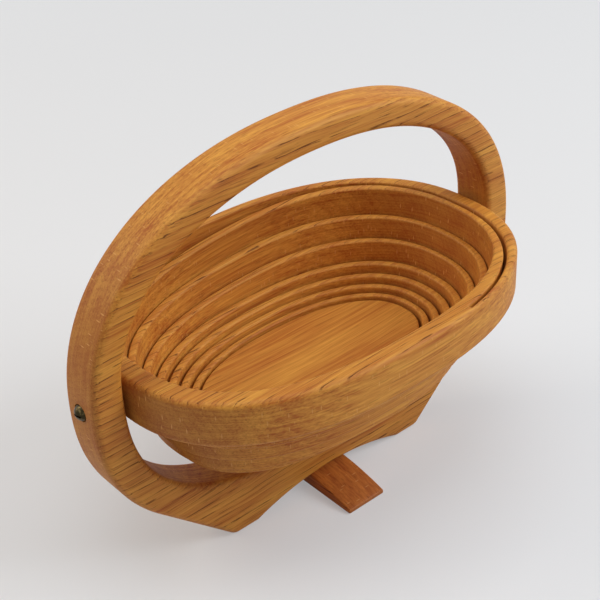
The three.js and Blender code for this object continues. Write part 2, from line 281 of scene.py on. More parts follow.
def select_edges(obj: bpy.types.Object, wanted: Callable[[bmesh.types.BMEdge], bool]) -> None:
    """Select the edges of the mesh in edit mode that pass a test.

    Args:
        obj: the object in edit mode.
        wanted: the test of one edge.
    """
    bpy.ops.mesh.select_mode(type="EDGE")
    bpy.ops.mesh.select_all(action="DESELECT")
    mesh = bmesh.from_edit_mesh(obj.data)
    for edge in mesh.edges:
        edge.select_set(wanted(edge))
    mesh.select_flush_mode()
    bmesh.update_edit_mesh(obj.data)


def turned(name: str, profile: Sequence[tuple[float, float]], sides: int) -> bpy.types.Object:
    """Turn a solid about Z, each ring extruded from the last and scaled to its radius.

    Args:
        name: the name of the piece.
        profile: radius and height of each ring, from one flat end to the other.
        sides: how many sides the rings have.

    Returns:
        The closed solid, in object mode.
    """
    clear_selection()
    radius, height = profile[0]
    bpy.ops.mesh.primitive_circle_add(vertices=sides, radius=radius, fill_type="NGON", location=(0, 0, 0))
    piece = name_piece(bpy.context.object, name)
    piece.data.transform(Matrix.Translation((0, 0, height)))
    bpy.ops.object.mode_set(mode="EDIT")
    bpy.ops.mesh.select_all(action="SELECT")
    for next_radius, next_height in profile[1:]:
        rise = (0, 0, next_height - height)
        bpy.ops.mesh.extrude_region_move(TRANSFORM_OT_translate={"value": rise})
        scale = next_radius / radius
        bpy.ops.transform.resize(value=(scale, scale, 1))
        radius, height = next_radius, next_height
    turn_faces_out()
    bpy.ops.object.mode_set(mode="OBJECT")
    return piece


def saw_out(obj: bpy.types.Object, cutter: bpy.types.Object) -> None:
    """Take a cutter's shape out of a piece and remove the cutter.

    Args:
        obj: the piece.
        cutter: the closed solid to take away.
    """
    take(obj)
    cut = obj.modifiers.new("cut", "BOOLEAN")
    cut.operation = "DIFFERENCE"
    cut.solver = "EXACT"
    cut.object = cutter
    bpy.ops.object.modifier_apply(modifier=cut.name)
    bpy.data.objects.remove(cutter)


def smooth(obj: bpy.types.Object) -> None:
    """Shade a piece smooth, but keep its sharp edges."""
    take(obj)
    bpy.ops.object.shade_smooth_by_angle(angle=SHARP_EDGE)


def keep_board_places(obj: bpy.types.Object, to_board: Matrix) -> None:
    """Store where each vertex lies in the uncut board, and which way each corner faces there.

    Args:
        obj: the piece, in its final shading.
        to_board: the move from the piece's own place to the board's.
    """
    mesh = obj.data
    places = mesh.attributes.new(PLACE_IN_BOARD, "FLOAT_VECTOR", "POINT")
    places.data.foreach_set("vector", [part for vertex in mesh.vertices for part in to_board @ vertex.co])
    turn = to_board.to_3x3()
    facings = mesh.attributes.new(FACING_IN_BOARD, "FLOAT_VECTOR", "CORNER")
    normals = [part for normal in mesh.corner_normals for part in turn @ Vector(normal.vector)]
    facings.data.foreach_set("vector", normals)


def linear_colour(code: str) -> tuple[float, float, float, float]:
    """Turn an sRGB hex colour to the linear values that shaders read.

    Args:
        code: six hex digits.

    Returns:
        Linear red, green and blue, with an alpha of 1.
    """
    def channel(value: float) -> float:
        """Turn one sRGB channel to linear."""
        return value / 12.92 if value <= 0.04045 else ((value + 0.055) / 1.055) ** 2.4

    red, green, blue = (channel(int(code[place:place + 2], 16) / 255) for place in (0, 2, 4))
    return red, green, blue, 1.0


class NodeSheet:
    """The node tree of a material or of the world, emptied to be drawn anew."""

    def __init__(self, owner: bpy.types.Material | bpy.types.World) -> None:
        """Empty the tree.

        Args:
            owner: the material or the world.
        """
        owner.use_nodes = True
        self.tree = owner.node_tree
        self.tree.nodes.clear()

    def add(self, kind: str, inputs: dict | None = None, **settings: object) -> bpy.types.Node:
        """Add a node with its settings, and its inputs set or linked.

        Args:
            kind: the node's type, without its ShaderNode prefix.
            inputs: values or output sockets, by input name or number.
            settings: the node's own properties.

        Returns:
            The new node.
        """
        node = self.tree.nodes.new("ShaderNode" + kind)
        for key, value in settings.items():
            setattr(node, key, value)
        for key, value in (inputs or {}).items():
            if isinstance(value, bpy.types.NodeSocket):
                self.tree.links.new(value, node.inputs[key])
            else:
                node.inputs[key].default_value = value
        return node

    def looked_at(self) -> bpy.types.NodeSocket:
        """Tell apart the rays that look at a surface from the light that it throws on others.

        Returns:
            A socket that is 1 for the eye, in reflections and through glass, and otherwise 0.
        """
        rays = self.add("LightPath").outputs
        seen = rays["Is Camera Ray"]
        for other in ("Is Glossy Ray", "Is Transmission Ray"):
            seen = self.add("Math", {0: seen, 1: rays[other]}, operation="MAXIMUM").outputs[0]
        return seen


@dataclass(frozen=True)
class Streaks:
    """Soft streaks in wood, drawn by noise.

    The repeats run along the grain, across it and through the board.
    """

    repeats_per_mm: tuple[float, float, float]
    weight: float
    detail: float = 3.0


@dataclass(frozen=True)
class Marks:
    """Long thin marks in wood, such as pores and rays.

    The spacings run along the grain, across it and through the board. The half thickness is a share of them.
    """

    spacing_mm: tuple[float, float, float]
    half_thickness: float
    more_in_early_wood: float = 0.0
    strength: float = 1.0
    core: float = 0.6
    randomness: float = 0.8


@dataclass(frozen=True)
class PoreRows:
    """The row of large pores that opens each growth ring, broken into long dashes.

    The half thickness, the waver and the shift are shares of a ring. Each ring reads its own stretch of the
    noise that breaks the rows, a stride away from the last ring's, and breaks between two levels of it.
    """

    half_thickness: float = 0.062
    waver: float = 0.65
    shift: float = 0.2
    run_mm: float = 9.0
    depth_mm: float = 4.0
    stride: float = 7.31
    gap_levels: tuple[float, float] = (0.4, 0.52)


@dataclass(frozen=True)
class CalmMiddle:
    """The oval in the middle of the board where few pores show, and how little they show there."""

    centre_mm: tuple[float, float] = (28.0, 0.0)
    half_size_mm: tuple[float, float] = (75.0, 40.0)
    reach: tuple[float, float] = (0.75, 1.2)
    level: float = 0.25


@dataclass
class WoodReadings:
    """What the oak's pattern reads at a point of a piece.

    The place is in millimetres in the uncut board, and the grown place follows the slow waves of the trunk.
    The rings are counted from the pith. The rest are shares between 0 and 1.
    """

    place: bpy.types.NodeSocket
    grown: bpy.types.NodeSocket
    ring: bpy.types.NodeSocket
    early: bpy.types.NodeSocket
    fibre: bpy.types.NodeSocket
    on_end: bpy.types.NodeSocket
    on_wall: bpy.types.NodeSocket


@dataclass(frozen=True)
class OiledOak:
    """Rift-sawn oak, sanded and oiled.

    The fibres and growth rings give soft streaks along the grain, the rows of open pores thin dark dashes on
    the board's faces, and the rays pale ticks across its sawn walls. The end grain drinks more oil and is
    darker. The oil deepens all of it to a golden orange-brown with a low sheen. The pores are drawn about
    twice as coarse as real ones, so that they show.

    A pair of levels or facings says where something starts to count and where it counts in full. A facing
    is how squarely the surface faces along the grain or out of the board. The ring stops give the share of
    early wood at places within a ring.
    """

    name: str = "oiled_oak"
    late_wood: str = "DE9E40"
    early_wood: str = "A95416"
    pore: str = "522407"
    ray: str = "E8B468"
    end_grain: str = "A0622E"
    end_grain_share: float = 0.5
    roughness: float = 0.58
    rougher_in_pores: float = 0.3
    ior: float = 1.38
    relief_mm: float = 0.12
    relief_strength: float = 0.6
    fibre_relief: float = 0.25

    wave_repeats_per_mm: tuple[float, float, float] = (0.008, 0.03, 0.03)
    wave_mm: tuple[float, float, float] = (0.0, 9.0, 5.0)
    ring_period_mm: float = 2.6
    pith_mm: tuple[float, float] = (190.0, -95.0)
    ring_stops: tuple[tuple[float, float], ...] = ((0.05, 1.0), (0.6, 0.0), (0.85, 0.0), (1.0, 1.0))
    ring_weight: float = 0.1
    fibres: Streaks = Streaks((0.04, 1.5, 1.5), 1.0)
    patches: Streaks = Streaks((0.016, 0.16, 0.16), 1.0)
    wall_layers: Streaks = Streaks((0.03, 0.03, 1.1), 1.1)
    tone_levels: tuple[float, float] = (0.68, 1.48)
    end_facing: tuple[float, float] = (0.5, 0.95)
    face_facing: tuple[float, float] = (0.3, 0.85)

    rows: PoreRows = PoreRows()
    pores: Marks = Marks((24.0, 0.85, 0.9), 0.26, 0.04, 0.45)
    fine_pores: Marks = Marks((6.0, 0.55, 0.6), 0.19, 0.08, 0.3)
    pores_on_face: float = 0.78
    pores_on_wall: float = 0.62
    calm_middle: CalmMiddle = CalmMiddle()
    rays: Marks = Marks((1.6, 1.6, 8.0), 0.17, strength=0.35)
    more_rays_on_end: float = 0.3

    def build(self) -> bpy.types.Material:
        """Make the material.

        Returns:
            The material, reading the places and facings that the sawn pieces keep.
        """
        material = bpy.data.materials.new(self.name)
        sheet = NodeSheet(material)
        at = self.read_wood(sheet)
        wood = self.ground(sheet, at)
        pore_share = self.pore_share(sheet, at)
        for share, colour in ((pore_share, self.pore), (self.ray_share(sheet, at), self.ray)):
            wood = sheet.add("Mix", {"Factor": share, "A": wood, "B": linear_colour(colour)},
                             data_type="RGBA").outputs["Result"]

        rough = sheet.add("Math", {0: pore_share, 1: self.rougher_in_pores, 2: self.roughness},
                          operation="MULTIPLY_ADD").outputs[0]
        groove = sheet.add("Math", {0: pore_share, 1: -1.0}, operation="MULTIPLY").outputs[0]
        height = sheet.add("Math", {0: at.fibre, 1: self.fibre_relief, 2: groove},
                           operation="MULTIPLY_ADD").outputs[0]
        relief = sheet.add("Bump", {"Height": height, "Distance": self.relief_mm * MM,
                                    "Strength": self.relief_strength}).outputs[0]
        shader = sheet.add("BsdfPrincipled", {"Base Color": wood, "Roughness": rough, "Normal": relief,
                                              "IOR": self.ior})
        sheet.add("OutputMaterial", {"Surface": shader.outputs[0]})
        return material

    def read_wood(self, sheet: NodeSheet) -> WoodReadings:
        """Read where a point lies in the uncut board and how the wood grew and was cut there.

        Args:
            sheet: the material being made.

        Returns:
            The readings.
        """
        add = sheet.add
        stored = add("Attribute", attribute_name=PLACE_IN_BOARD).outputs["Vector"]
        place = add("VectorMath", {0: stored, "Scale": 1 / MM}, operation="SCALE").outputs[0]
        slow = add("VectorMath", {0: place, 1: self.wave_repeats_per_mm}, operation="MULTIPLY").outputs[0]
        wave = add("TexNoise", {"Vector": slow, "Scale": 1.0, "Detail": 2.0}).outputs["Color"]
        centred = add("VectorMath", {0: wave, 1: (0.5, 0.5, 0.5)}, operation="SUBTRACT").outputs[0]
        drift = add("VectorMath", {0: centred, 1: self.wave_mm}, operation="MULTIPLY").outputs[0]
        grown = add("VectorMath", {0: place, 1: drift}, operation="ADD").outputs[0]

        across = add("VectorMath", {0: grown, 1: (0, 1, 1)}, operation="MULTIPLY").outputs[0]
        from_pith = add("VectorMath", {0: across, 1: (0, *self.pith_mm)}, operation="SUBTRACT").outputs[0]
        radius = add("VectorMath", {0: from_pith}, operation="LENGTH").outputs["Value"]
        ring = add("Math", {0: radius, 1: self.ring_period_mm}, operation="DIVIDE").outputs[0]

        facing = add("Attribute", attribute_name=FACING_IN_BOARD).outputs["Vector"]
        sides = add("SeparateXYZ", {0: facing}).outputs
        endways = add("Math", {0: sides["X"]}, operation="ABSOLUTE").outputs[0]
        on_end = add("MapRange", {"Value": endways, "From Min": self.end_facing[0],
                                  "From Max": self.end_facing[1]}).outputs[0]
        flatways = add("Math", {0: sides["Z"]}, operation="ABSOLUTE").outputs[0]
        on_wall = add("MapRange", {"Value": flatways, "From Min": self.face_facing[0],
                                   "From Max": self.face_facing[1], "To Min": 1.0, "To Max": 0.0}).outputs[0]
        return WoodReadings(place, grown, ring, self.early_share(sheet, ring),
                            self.streak(sheet, self.fibres, grown), on_end, on_wall)

    def early_share(self, sheet: NodeSheet, ring: bpy.types.NodeSocket) -> bpy.types.NodeSocket:
        """Give how much of each growth ring is early wood.

        Args:
            sheet: the material being made.
            ring: how many rings a place lies from the pith.

        Returns:
            A socket that is 1 at the start of a ring and falls to 0 in its late wood.
        """
        phase = sheet.add("Math", {0: ring}, operation="FRACT").outputs[0]
        ramp = sheet.add("ValToRGB", {"Fac": phase})
        stops = ramp.color_ramp.elements
        given = len(stops)
        for number, (position, level) in enumerate(self.ring_stops):
            stop = stops[number] if number < given else stops.new(position)
            stop.position = position
            stop.color = (level, level, level, 1)
        return ramp.outputs["Color"]

    def streak(self, sheet: NodeSheet, streaks: Streaks, place: bpy.types.NodeSocket) -> bpy.types.NodeSocket:
        """Draw soft streaks.

        Args:
            sheet: the material being made.
            streaks: their fineness.
            place: the place in the board, in millimetres.

        Returns:
            A socket that sways about a half.
        """
        repeats = streaks.repeats_per_mm
        cells = sheet.add("VectorMath", {0: place, 1: repeats}, operation="MULTIPLY").outputs[0]
        noise = sheet.add("TexNoise", {"Vector": cells, "Scale": 1.0, "Detail": streaks.detail})
        return noise.outputs["Fac"]

    def ground(self, sheet: NodeSheet, at: WoodReadings) -> bpy.types.NodeSocket:
        """Colour the wood under its pores and rays.

        Args:
            sheet: the material being made.
            at: the readings of the wood.

        Returns:
            The colour's socket.
        """
        add = sheet.add
        patch = self.streak(sheet, self.patches, at.grown)
        mixed = add("Math", {0: at.early, 1: self.ring_weight}, operation="MULTIPLY").outputs[0]
        for value, weight in ((at.fibre, self.fibres.weight), (patch, self.patches.weight)):
            mixed = add("Math", {0: value, 1: weight, 2: mixed}, operation="MULTIPLY_ADD").outputs[0]
        layer = self.streak(sheet, self.wall_layers, at.grown)
        layer = add("Math", {0: layer, 1: 0.5}, operation="SUBTRACT").outputs[0]
        layer = add("Math", {0: layer, 1: at.on_wall}, operation="MULTIPLY").outputs[0]
        mixed = add("Math", {0: layer, 1: self.wall_layers.weight, 2: mixed},
                    operation="MULTIPLY_ADD").outputs[0]
        tone = add("MapRange", {"Value": mixed, "From Min": self.tone_levels[0],
                                "From Max": self.tone_levels[1]}).outputs[0]
        end_share = add("Math", {0: at.on_end, 1: self.end_grain_share}, operation="MULTIPLY").outputs[0]
        wood = add("Mix", {"Factor": tone, "A": linear_colour(self.late_wood),
                           "B": linear_colour(self.early_wood)}, data_type="RGBA").outputs["Result"]
        return add("Mix", {"Factor": end_share, "A": wood, "B": linear_colour(self.end_grain)},
                   data_type="RGBA").outputs["Result"]

    def pore_share(self, sheet: NodeSheet, at: WoodReadings) -> bpy.types.NodeSocket:
        """Draw all the pores: their rows on the board's faces, and scattered single ones everywhere.

        Args:
            sheet: the material being made.
            at: the readings of the wood.

        Returns:
            A socket with how much of the pores' colour shows.
        """
        add = sheet.add
        on_face = add("Math", {0: 1.0, 1: at.on_wall}, operation="SUBTRACT").outputs[0]
        pore = add("Math", {0: self.pore_rows(sheet, at), 1: on_face}, operation="MULTIPLY").outputs[0]
        for marks in (self.pores, self.fine_pores):
            single = self.scatter(sheet, marks, at.grown, at.early)
            single = add("Math", {0: single, 1: marks.strength}, operation="MULTIPLY").outputs[0]
            pore = add("Math", {0: pore, 1: single}, operation="MAXIMUM").outputs[0]
        plain = add("MapRange", {"Value": at.on_wall, "To Min": self.pores_on_face,
                                 "To Max": self.pores_on_wall}).outputs[0]
        for limit in (plain, self.away_from_middle(sheet, at)):
            pore = add("Math", {0: pore, 1: limit}, operation="MULTIPLY").outputs[0]
        return pore

    def pore_rows(self, sheet: NodeSheet, at: WoodReadings) -> bpy.types.NodeSocket:
        """Draw the rows of large pores.

        Args:
            sheet: the material being made.
            at: the readings of the wood.

        Returns:
            A socket that is 1 in a dash and 0 between dashes.
        """
        add = sheet.add
        rows = self.rows
        waver = add("Math", {0: at.fibre, 1: rows.waver, 2: rows.shift}, operation="MULTIPLY_ADD").outputs[0]
        shifted = add("Math", {0: at.ring, 1: waver}, operation="ADD").outputs[0]
        number = add("Math", {0: shifted}, operation="FLOOR").outputs[0]
        share = add("Math", {0: shifted}, operation="FRACT").outputs[0]
        offset = add("Math", {0: share, 1: 0.5}, operation="SUBTRACT").outputs[0]
        offset = add("Math", {0: offset}, operation="ABSOLUTE").outputs[0]
        line = add("MapRange", {"Value": offset, "From Min": rows.half_thickness,
                                "From Max": rows.half_thickness / 2}).outputs[0]
        along = add("SeparateXYZ", {0: at.place}).outputs
        run = add("Math", {0: along["X"], 1: 1 / rows.run_mm}, operation="MULTIPLY").outputs[0]
        depth = add("Math", {0: along["Z"], 1: 1 / rows.depth_mm}, operation="MULTIPLY").outputs[0]
        own = add("Math", {0: number, 1: rows.stride}, operation="MULTIPLY").outputs[0]
        cell = add("CombineXYZ", {"X": run, "Y": own, "Z": depth}).outputs[0]
        broken = add("TexNoise", {"Vector": cell, "Scale": 1.0, "Detail": 1.0}).outputs["Fac"]
        kept = add("MapRange", {"Value": broken, "From Min": rows.gap_levels[0],
                                "From Max": rows.gap_levels[1]}).outputs[0]
        return add("Math", {0: line, 1: kept}, operation="MULTIPLY").outputs[0]

    def away_from_middle(self, sheet: NodeSheet, at: WoodReadings) -> bpy.types.NodeSocket:
        """Give how plainly the pores show, as the middle of the board shows few.

        Args:
            sheet: the material being made.
            at: the readings of the wood.

        Returns:
            A socket that rises from the middle of the board to 1 near its edges.
        """
        calm = self.calm_middle
        shrink = tuple(1 / half for half in calm.half_size_mm)
        centre = (*calm.centre_mm, 0)
        placed = sheet.add("VectorMath", {0: at.place, 1: centre}, operation="SUBTRACT").outputs[0]
        shrunk = sheet.add("VectorMath", {0: placed, 1: (*shrink, 0)}, operation="MULTIPLY").outputs[0]
        reach = sheet.add("VectorMath", {0: shrunk}, operation="LENGTH").outputs["Value"]
        return sheet.add("MapRange", {"Value": reach, "From Min": calm.reach[0], "From Max": calm.reach[1],
                                      "To Min": calm.level}).outputs[0]

    def ray_share(self, sheet: NodeSheet, at: WoodReadings) -> bpy.types.NodeSocket:
        """Draw the rays, which show on the sawn walls and most on the end grain.

        Args:
            sheet: the material being made.
            at: the readings of the wood.

        Returns:
            A socket with how much of the rays' colour shows.
        """
        share = self.scatter(sheet, self.rays, at.place, at.early)
        plain = sheet.add("Math", {0: at.on_end, 1: self.more_rays_on_end, 2: self.rays.strength},
                          operation="MULTIPLY_ADD").outputs[0]
        for limit in (at.on_wall, plain):
            share = sheet.add("Math", {0: share, 1: limit}, operation="MULTIPLY").outputs[0]
        return share

    def scatter(self, sheet: NodeSheet, marks: Marks, place: bpy.types.NodeSocket,
                early: bpy.types.NodeSocket) -> bpy.types.NodeSocket:
        """Scatter long thin marks through the wood.

        Args:
            sheet: the material being made.
            marks: their spacing and thickness.
            place: the place in the board, in millimetres.
            early: the share of early wood.

        Returns:
            A socket that is 1 in a mark and 0 between marks.
        """
        scale = tuple(1 / size for size in marks.spacing_mm)
        cells = sheet.add("VectorMath", {0: place, 1: scale}, operation="MULTIPLY").outputs[0]
        distance = sheet.add("TexVoronoi", {"Vector": cells, "Scale": 1.0,
                                            "Randomness": marks.randomness}).outputs["Distance"]
        limit = sheet.add("Math", {0: early, 1: marks.more_in_early_wood, 2: marks.half_thickness},
                          operation="MULTIPLY_ADD").outputs[0]
        inner = sheet.add("Math", {0: limit, 1: marks.core}, operation="MULTIPLY").outputs[0]
        return sheet.add("MapRange", {"Value": distance, "From Min": limit, "From Max": inner}).outputs[0]


@dataclass(frozen=True)
class AntiqueBrass:
    """Dark antique-finish brass, turned and waxed, rubbed bright in spots."""

    name: str = "antique_brass"
    patina: str = "38301F"
    rubbed: str = "8E7A50"
    spots_per_metre: float = 900.0
    rubbed_levels: tuple[float, float] = (0.5, 0.8)
    roughness: float = 0.2
    rougher_in_spots: float = 0.25
    relief_mm: float = 0.03
    relief_strength: float = 0.4

    def build(self) -> bpy.types.Material:
        """Make the material.

        Returns:
            The material, its wear drawn by noise.
        """
        material = bpy.data.materials.new(self.name)
        add = NodeSheet(material).add
        place = add("TexCoord").outputs["Object"]
        spots = add("TexNoise", {"Vector": place, "Scale": self.spots_per_metre,
                                 "Detail": 4.0}).outputs["Fac"]
        wear = add("MapRange", {"Value": spots, "From Min": self.rubbed_levels[0],
                                "From Max": self.rubbed_levels[1]}).outputs[0]
        metal = add("Mix", {"Factor": wear, "A": linear_colour(self.patina), "B": linear_colour(self.rubbed)},
                    data_type="RGBA").outputs["Result"]
        rough = add("Math", {0: spots, 1: self.rougher_in_spots, 2: self.roughness},
                    operation="MULTIPLY_ADD").outputs[0]
        relief = add("Bump", {"Height": spots, "Distance": self.relief_mm * MM,
                              "Strength": self.relief_strength}).outputs[0]
        shader = add("BsdfPrincipled", {"Base Color": metal, "Metallic": 1.0, "Roughness": rough,
                                        "Normal": relief})
        add("OutputMaterial", {"Surface": shader.outputs[0]})
        return material


@dataclass(frozen=True)
class StudioPaper:
    """Matt pale grey paper, lit from behind, which the object stands on.

    The glow shows only in the paper itself, as the eye or a reflection sees it, and throws no light on the
    object. Far from the object the paper is all glow, so that it runs on into the pale room. It throws back
    less light than it shows, like a small sheet on a darker table.
    """

    name: str = "studio_paper"
    colour: str = "E9E8E6"
    glow: str = "ECEFF2"
    glow_share: float = 0.34
    shadow_reach: tuple[float, float] = (0.12, 1.4)
    thrown_back: float = 0.86
    roughness: float = 0.95
    mottle_per_metre: float = 3.0
    mottle_levels: tuple[float, float] = (0.98, 1.02)

    def build(self) -> bpy.types.Material:
        """Make the material.

        Returns:
            The material, with a faint mottle.
        """
        material = bpy.data.materials.new(self.name)
        sheet = NodeSheet(material)
        add = sheet.add
        place = add("TexCoord").outputs["Object"]
        mottle = add("TexNoise", {"Vector": place, "Scale": self.mottle_per_metre,
                                  "Detail": 2.0}).outputs["Fac"]
        level = add("MapRange", {"Value": mottle, "To Min": self.mottle_levels[0],
                                 "To Max": self.mottle_levels[1]}).outputs[0]
        seen = sheet.looked_at()
        strength = add("MapRange", {"Value": seen, "To Min": self.thrown_back}).outputs[0]
        level = add("Math", {0: level, 1: strength}, operation="MULTIPLY").outputs[0]
        colour = linear_colour(self.colour)[:3]
        tint = add("VectorMath", {0: colour, "Scale": level}, operation="SCALE").outputs[0]
        matt = add("BsdfPrincipled", {"Base Color": tint, "Roughness": self.roughness}).outputs[0]
        lit = add("Emission", {"Color": linear_colour(self.glow)}).outputs[0]
        distance = add("VectorMath", {0: place}, operation="LENGTH").outputs["Value"]
        glowing = add("MapRange", {"Value": distance, "From Min": self.shadow_reach[0],
                                   "From Max": self.shadow_reach[1], "To Min": self.glow_share},
                      interpolation_type="SMOOTHSTEP").outputs[0]
        share = add("Math", {0: seen, 1: glowing}, operation="MULTIPLY").outputs[0]
        shader = add("MixShader", {0: share, 1: matt, 2: lit})
        add("OutputMaterial", {"Surface": shader.outputs[0]})
        return material


@dataclass
class Workshop:
    """What all the sawn pieces share: the board that they come from and their finishes."""

    thickness: float = 19.05 * MM
    pivot_height: float = 87 * MM
    oak: bpy.types.Material = field(init=False)
    painted_shade_oak: bpy.types.Material = field(init=False)
    brass: bpy.types.Material = field(init=False)

    def __post_init__(self) -> None:
        """Make the finishes, among them a darker, redder copy of the oak with painted shade for the foot bar.
        """
        self.oak = OiledOak().build()
        # Painted shade: the foot bar's oak is the same oak made darker and redder, for the shade that the
        # basket and the frame cast on the bar.
        self.painted_shade_oak = OiledOak(name="oiled_oak_offcut", late_wood="CC7C34", early_wood="A0501C").build()
        self.brass = AntiqueBrass().build()

    @property
    def basket_to_board(self) -> Matrix:
        """The move from the folded-flat basket to the board."""
        return Matrix.Translation((0, 0, -self.pivot_height))

    @property
    def frame_to_board(self) -> Matrix:
        """The move from the upright frame to the board."""
        lay_down = Matrix.Rotation(-TURN / 4, 4, "X")
        return lay_down @ Matrix.Translation((0, 0, -self.pivot_height))

    @property
    def bar_to_board(self) -> Matrix:
        """The move from the foot bar, turned out across the frame, to the board."""
        turn_back = Matrix.Rotation(-TURN / 4, 4, "Z")
        return self.frame_to_board @ turn_back

    def finish(self, piece: bpy.types.Object, to_board: Matrix, oak: bpy.types.Material, slot: Slot) -> None:
        """Shade a sawn piece, keep its places in the board and oil it.

        Args:
            piece: the piece, where it lies flat.
            to_board: the move from there to the board.
            oak: its finish.
            slot: the record's slot for it.
        """
        smooth(piece)
        keep_board_places(piece, to_board)
        self.dress(piece, oak, slot)

    def dress(self, obj: bpy.types.Object, material: bpy.types.Material, slot: Slot) -> None:
        """Give a piece its finish.

        Args:
            obj: the piece.
            material: its finish.
            slot: the record's slot for it; not used.
        """
        obj.data.materials.clear()
        obj.data.materials.append(material)


@dataclass
class BasketBoard:
    """The sawn basket board: the rim, the lengths of the spiral strip and the floor."""

    shop: Workshop
    rim_half_length: float = 90.0 * MM
    rim_far_reach: float = 65.1 * MM
    rim_near_reach: float = 62.4 * MM
    far_fullness: float = 2.24
    near_fullness: float = 2.43
    rim_edge_round: float = 2.4 * MM
    sawn_edge_round: float = 0.9 * MM
    round_steps: int = 6
    kerf_width: float = 1.3 * MM
    kerf_lean: float = math.radians(4.5)
    kerf_start: float = math.radians(-75)
    kerf_start_inset: float = 2.3 * MM
    kerf_entry_inset: float = 1 * MM
    kerf_entry_turns: float = 0.15
    kerf_pitch: float = 5.36 * MM
    kerf_pitch_loss: float = 0.1 * MM
    end_widening: float = 3.2 * MM
    widened_turns: float = 3.2
    widening_narrowness: int = 4
    strip_lengths: int = 14
    steps_per_turn: int = 128
    seam_step: float = math.radians(0.3)
    screw_hole_radius: float = 2 * MM
    screw_bite: float = 3.3 * MM
    screw_hole_sides: int = 32
    drops: list[float] = field(init=False)

    def __post_init__(self) -> None:
        """Add up how far each length of the strip has dropped."""
        self.drops = []
        total = 0.0
        for body in self.bodies[1:]:
            total += joint_travel(f"{body}_rise")
            self.drops.append(total)

    @property
    def bodies(self) -> list[str]:
        """The bodies that the spiral joins, from the rim to the floor."""
        return ["rim", *[f"strip_{number:02d}" for number in range(1, self.strip_lengths + 1)], "floor"]

    @property
    def strip_end(self) -> float:
        """The angle at which the strip runs into the floor."""
        return (self.strip_lengths - 0.5) * TURN / 2

    @property
    def top(self) -> float:
        """The height of the rim's top face."""
        return self.shop.pivot_height + self.shop.thickness / 2

    def lean_at(self, depth: float) -> float:
        """How far a sawn wall has leaned inwards at a depth."""
        return depth * math.tan(self.kerf_lean)

    def plan(self, angle: float, inset: float) -> tuple[float, float]:
        """Find a point in the plan of the board.

        Args:
            angle: the place along the oval.
            inset: how far inside the rim's outline it lies.

        Returns:
            The point's X and Y.
        """
        reaches = (self.rim_far_reach - inset, self.rim_near_reach - inset)
        fullness = (self.far_fullness, self.near_fullness)
        return oval_point(angle, self.rim_half_length - inset, reaches, fullness)

    def kerf_inset(self, angle: float) -> float:
        """Find the middle of the kerf on the top face.

        Each turn lies a little closer to the last one, and the outer turns are wider at the ends of the oval.

        Args:
            angle: where along the spiral.

        Returns:
            Its inset.
        """
        turn = (angle - self.kerf_start) / TURN
        entry = self.kerf_entry_inset * smoothstep(turn / self.kerf_entry_turns)
        fading = max(1 - turn / self.widened_turns, 0)
        widening = self.end_widening * fading * math.cos(angle) ** self.widening_narrowness
        start = self.kerf_start_inset + entry + widening
        return start + self.kerf_pitch * turn - self.kerf_pitch_loss * turn ** 2

    def strip_outer(self, angle: float) -> float:
        """Inset of the strip's outer wall on the top face."""
        return self.kerf_inset(angle) + self.kerf_width / 2

    def strip_inner(self, angle: float) -> float:
        """Inset of the strip's inner wall on the top face."""
        return self.kerf_inset(angle + TURN) - self.kerf_width / 2

    def level_place(self, half_turn: int) -> float:
        """Find where a level stretch of the strip ends, at one end of the oval.

        Args:
            half_turn: how many half turns the strip has made by then.

        Returns:
            The place along X.
        """
        angle = half_turn * TURN / 2
        deepest = self.strip_inner(angle) + self.lean_at(self.shop.thickness)
        return self.plan(angle, deepest)[0]

    def span(self, length: int) -> tuple[float, float]:
        """X where a length of strip starts to slope, and where it is level again.

        Args:
            length: 0 for the length that leaves the rim, then one for each half turn.

        Returns:
            The two places along X.
        """
        if length == 0:
            return self.plan(self.kerf_start, self.strip_outer(self.kerf_start))[0], self.level_place(0)
        if length == self.strip_lengths:
            return self.level_place(length - 1), self.plan(self.strip_end, 0)[0]
        return self.level_place(length - 1), self.level_place(length)

    def drop_at(self, length: int, x: float) -> float:
        """Find how far a length of strip has dropped.

        Args:
            length: 0 for the length that leaves the rim, then one for each half turn.
            x: the place along X.

        Returns:
            The drop below the rim.
        """
        start, end = self.span(length)
        before = 0.0 if length == 0 else self.drops[length - 1]
        return before + (self.drops[length] - before) * smoothstep((x - start) / (end - start))

    def sawn_profile(self) -> list[tuple[float, float]]:
        """Draw one sawn wall.

        Returns:
            How far the wall lies behind its place on the top face, and how deep, from the top face to the
            bottom face. The rounds draw back from the kerf.
        """
        thickness = self.shop.thickness
        rounded = edge_round(self.sawn_edge_round, self.round_steps)
        return rounded + [(inset, thickness - depth) for inset, depth in reversed(rounded)]

    def strip_section(self, angle: float) -> list[Vector]:
        """Draw the section of the flat strip.

        Args:
            angle: where along the spiral.

        Returns:
            The closed section.
        """
        outer, inner = self.strip_outer(angle), self.strip_inner(angle)
        walls = [(outer + back, depth) for back, depth in self.sawn_profile()]
        walls += [(inner - back, depth) for back, depth in reversed(self.sawn_profile())]
        return [self.place(angle, inset + self.lean_at(depth), depth) for inset, depth in walls]

    def place(self, angle: float, inset: float, depth: float) -> Vector:
        """The point of the flat basket at an angle, an inset and a depth below its top face."""
        x, y = self.plan(angle, inset)
        return Vector((x, y, self.top - depth))

    def angles(self, start: float, end: float) -> list[float]:
        """Choose angles along the spiral, with short steps at both ends so that shading runs on past them."""
        between = even_angles(start, end, self.far_fullness, self.steps_per_turn)
        return [start, start + self.seam_step, *between[1:-1], end - self.seam_step, end]

